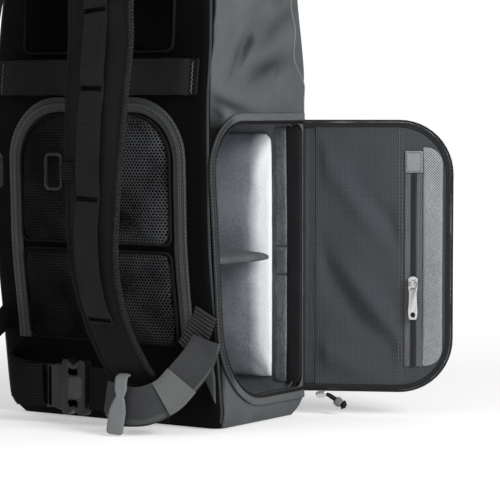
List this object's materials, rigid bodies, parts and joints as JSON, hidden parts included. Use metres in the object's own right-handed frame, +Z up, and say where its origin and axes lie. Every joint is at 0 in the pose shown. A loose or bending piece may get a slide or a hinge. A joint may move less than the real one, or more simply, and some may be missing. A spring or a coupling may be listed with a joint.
{
  "type": "camera backpack",
  "caption": "Charcoal camera backpack standing upright, side door open on its padded compartment, with mesh back, shoulder straps and a buckled hip belt.",
  "frame": {"origin": "centre of the flat underside", "axes": "+Z up, -Y towards the wearer's back, +X towards the side door"},
  "size_m": [0.3651, 0.3191, 0.4994],
  "materials": {
    "shell_fabric": "woven charcoal pack cloth, soft folds",
    "black_mesh": "black open spacer mesh",
    "black_webbing": "black ribbed webbing",
    "grey_binding": "light grey woven tape",
    "strap_fabric": "black woven cloth with grey mesh edges",
    "door_lining": "dark grey-blue ripstop lining",
    "heather_fabric": "grey heather cloth",
    "plush": "pale grey brushed plush",
    "dark_plush": "dark grey brushed plush",
    "black_plastic": "black moulded plastic, half gloss",
    "zip_coil": "black coil zip",
    "metal": "plated zip metal"
  },
  "bodies": {
    "pack": {"body_shell": "shell_fabric", "front_panel": "shell_fabric", "corner_gusset": "shell_fabric", "padded_insert": "dark_plush", "hook_strip": "dark_plush", "level_divider": "dark_plush", "plush_wall": "plush", "upper_mesh_pad": "black_mesh", "lower_mesh_pad": "black_mesh", "top_mesh_pad": "black_mesh", "rear_zip": "grey_binding", "opening_binding": "grey_binding", "pocket_patch": "grey_binding", "grey_pull": "grey_binding", "belt_keeper": "grey_binding", "luggage_band": "black_webbing", "door_binding": "black_webbing", "door_hinge": "black_webbing", "pocket_tape": "black_webbing", "strap_webbing_left": "black_webbing", "strap_webbing_right": "black_webbing", "ring_tab_left": "black_webbing", "ring_tab_right": "black_webbing", "belt_webbing_left": "black_webbing", "belt_webbing_right": "black_webbing", "belt_fold": "black_webbing", "belt_stack": "black_webbing", "ribbed_tail": "black_webbing", "strap_tether_left": "black_webbing", "grab_handle": "black_webbing", "zip_cord_pull": "black_webbing", "strap_pad_left": "strap_fabric", "strap_pad_right": "strap_fabric", "door_panel": "door_lining", "pocket_panel": "heather_fabric", "opening_zip": "zip_coil", "door_zip": "zip_coil", "pocket_coil": "zip_coil", "strap_ring_left": "black_plastic", "strap_ring_right": "black_plastic", "buckle_prongs": "black_plastic", "buckle_socket": "black_plastic", "pocket_slider": "metal", "zip_slider": "metal"},
    "pull": {"pocket_pull": "metal"}
  },
  "joints": [
    {"name": "pull_swing", "type": "hinge", "parent": "pack", "child": "pull", "pos_m": [0.2134, 0.1091, 0.122], "axis": [-0.8988, -0.4384, 0], "range_deg": [0, 150]}
  ]
}
